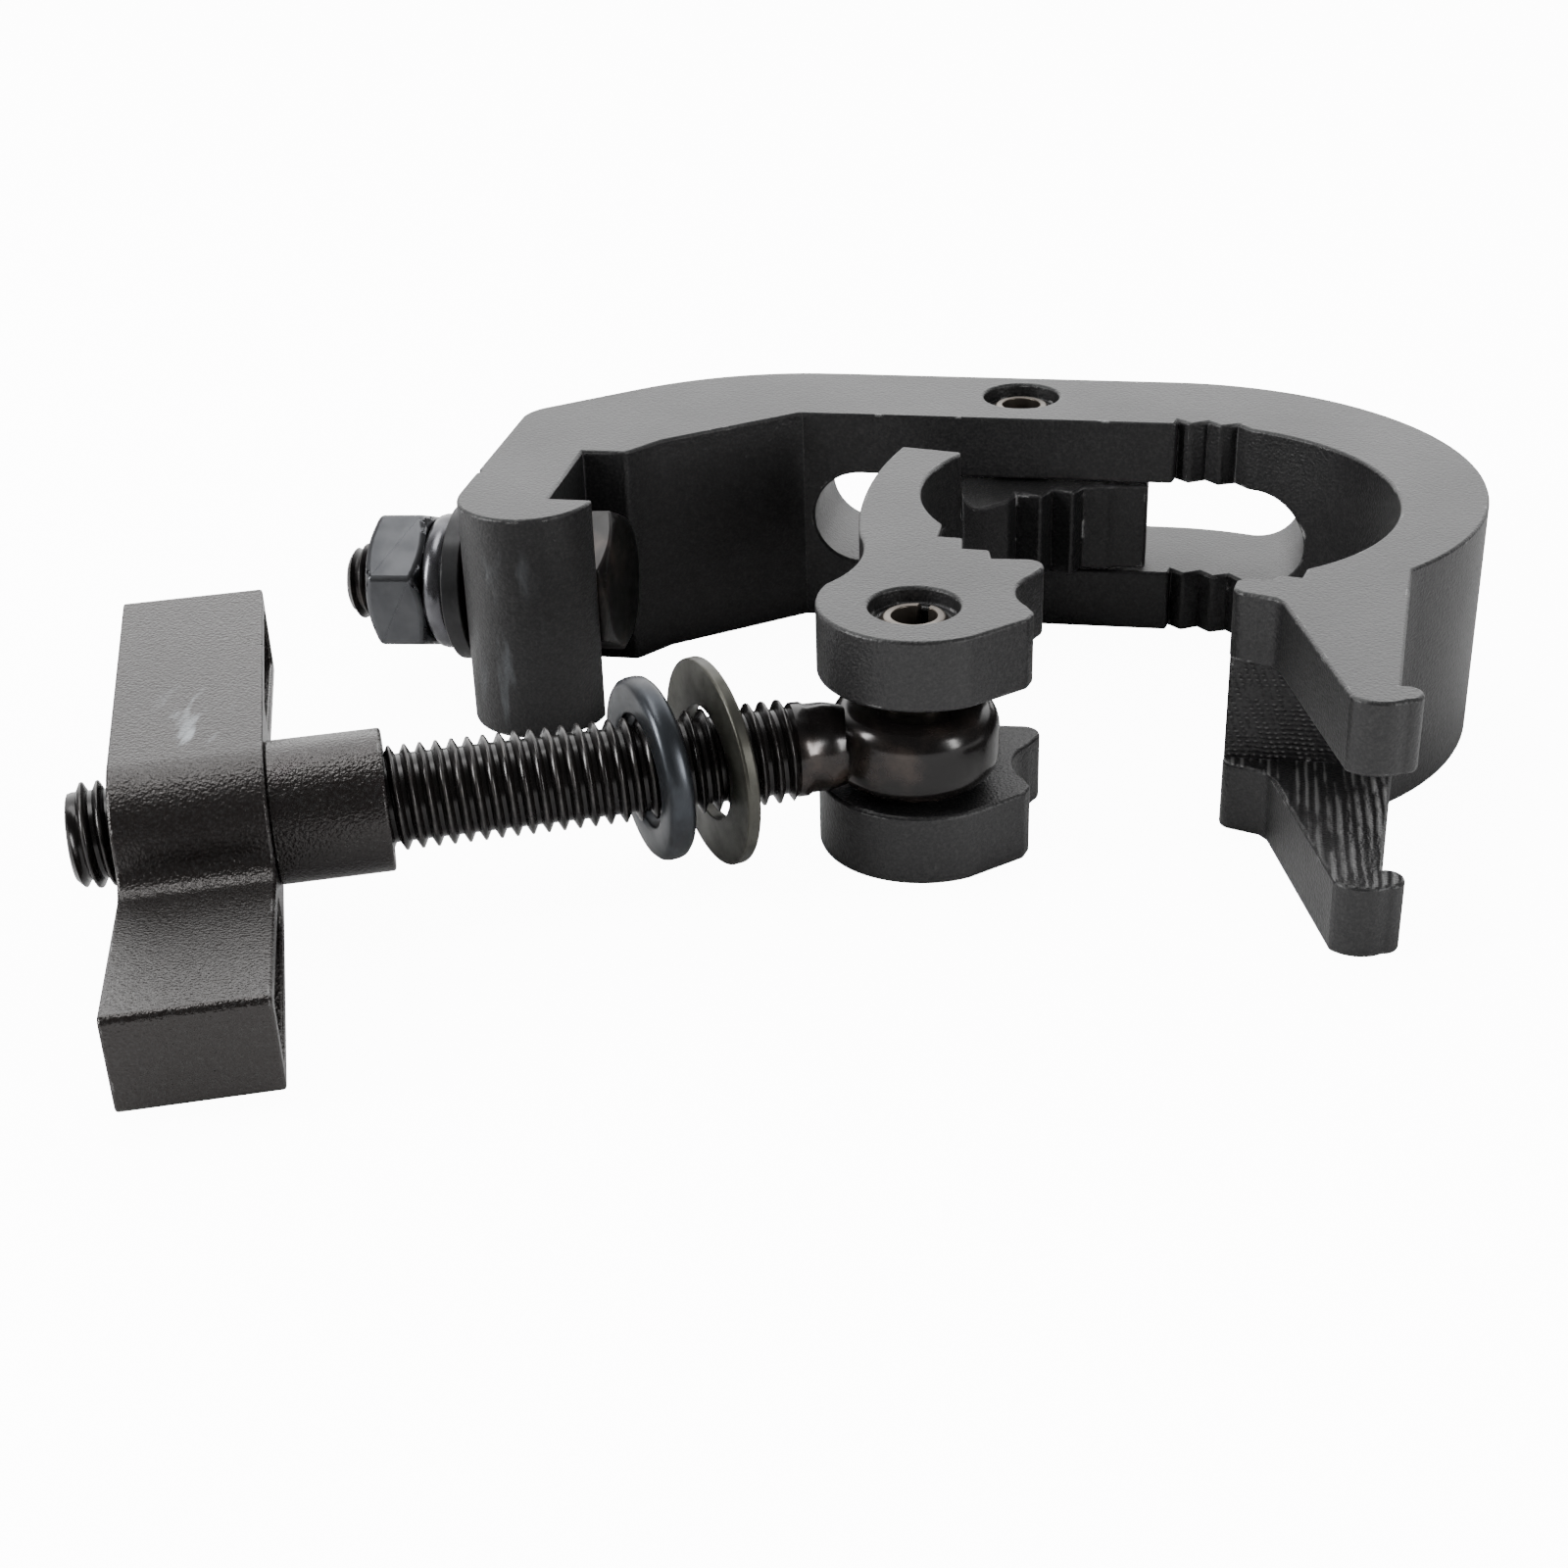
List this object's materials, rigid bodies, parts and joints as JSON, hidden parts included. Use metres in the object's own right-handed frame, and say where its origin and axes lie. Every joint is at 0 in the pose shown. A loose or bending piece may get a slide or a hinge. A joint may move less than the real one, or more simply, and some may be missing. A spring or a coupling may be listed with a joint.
{
  "type": "pipe clamp",
  "caption": "Trigger pipe clamp with a saddle hook, hinged jaw, swing bolt and wing nut, and a mounting bolt through its base.",
  "frame": {"origin": "axis of the clamped tube at mid thickness", "axes": "+Z along the tube, +X from the mounting bolt towards the hook, +Y from the mouth towards the spine"},
  "size_m": [0.1617, 0.1482, 0.03],
  "materials": {
    "black_coat": "satin",
    "black_bolt": "gloss",
    "zinc_steel": "satin",
    "spring_steel": "satin",
    "pin_steel": "satin"
  },
  "bodies": {
    "hook": {"hook_body": "black_coat", "jaw_pivot_pin": "pin_steel", "mounting_bolt": "black_bolt"},
    "jaw": {"trigger_jaw": "black_coat"},
    "eye_pin": {"eyebolt_pin": "pin_steel"},
    "bolt": {"swing_eyebolt": "black_bolt"},
    "flat_washer": {"bolt_flat_washer": "zinc_steel"},
    "spring_washer": {"bolt_spring_washer": "spring_steel"},
    "nut": {"wing_nut_barrel": "black_bolt"},
    "wing": {"wing_nut": "black_coat"},
    "mount_washers": {"mount_flat_washer": "zinc_steel", "mount_spring_washer": "spring_steel"},
    "mount_nut": {"mounting_nut": "black_bolt"}
  },
  "joints": [
    {"name": "jaw_pivot", "type": "hinge", "parent": "hook", "child": "jaw", "pos_m": [-0.022, 0.0365, 0], "axis": [0, 0, 1], "range_deg": [-22, 18]},
    {"name": "eyebolt_swing", "type": "hinge", "parent": "jaw", "child": "eye_pin", "pos_m": [-0.0276, -0.0373, 0], "axis": [0, 0, 1], "range_deg": [0, 136.5]},
    {"name": "eyebolt_float", "type": "slide", "parent": "eye_pin", "child": "bolt", "axis": [0, 0, 1], "range_m": [0, 0.00195]},
    {"name": "flat_washer_travel", "type": "slide", "parent": "bolt", "child": "flat_washer", "axis": [-0.936, -0.3518, -0.014], "range_m": [-0.004, 0.012]},
    {"name": "spring_washer_travel", "type": "slide", "parent": "bolt", "child": "spring_washer", "axis": [-0.936, -0.3518, -0.014], "range_m": [-0.004, 0.012]},
    {"name": "wing_nut_travel", "type": "slide", "parent": "bolt", "child": "nut", "axis": [-0.936, -0.3518, -0.014], "range_m": [-0.01225, 0.0175]},
    {"name": "wing_nut_spin", "type": "hinge", "parent": "nut", "child": "wing", "pos_m": [-0.0276, -0.0373, -0.00115], "axis": [-0.936, -0.3518, -0.014], "range_deg": [-3600, 2520]},
    {"name": "mount_nut_travel", "type": "slide", "parent": "hook", "child": "mount_washers", "axis": [-0.999, 0, -0.0436], "range_m": [0, 0.006]},
    {"name": "mount_nut_spin", "type": "hinge", "parent": "mount_washers", "child": "mount_nut", "pos_m": [-0.0774, 0, 0.0001], "axis": [-0.999, 0, -0.0436], "range_deg": [-1440, 0]}
  ],
  "couplings": [
    {"joint": "wing_nut_spin", "follows": "wing_nut_travel", "rad_per_m": -3590.4},
    {"joint": "spring_washer_travel", "follows": "flat_washer_travel", "ratio": 1},
    {"joint": "mount_nut_spin", "follows": "mount_nut_travel", "rad_per_m": -4188.8},
    {"joint": "eyebolt_float", "follows": "eyebolt_swing", "m_per_rad": 0.0007975}
  ]
}
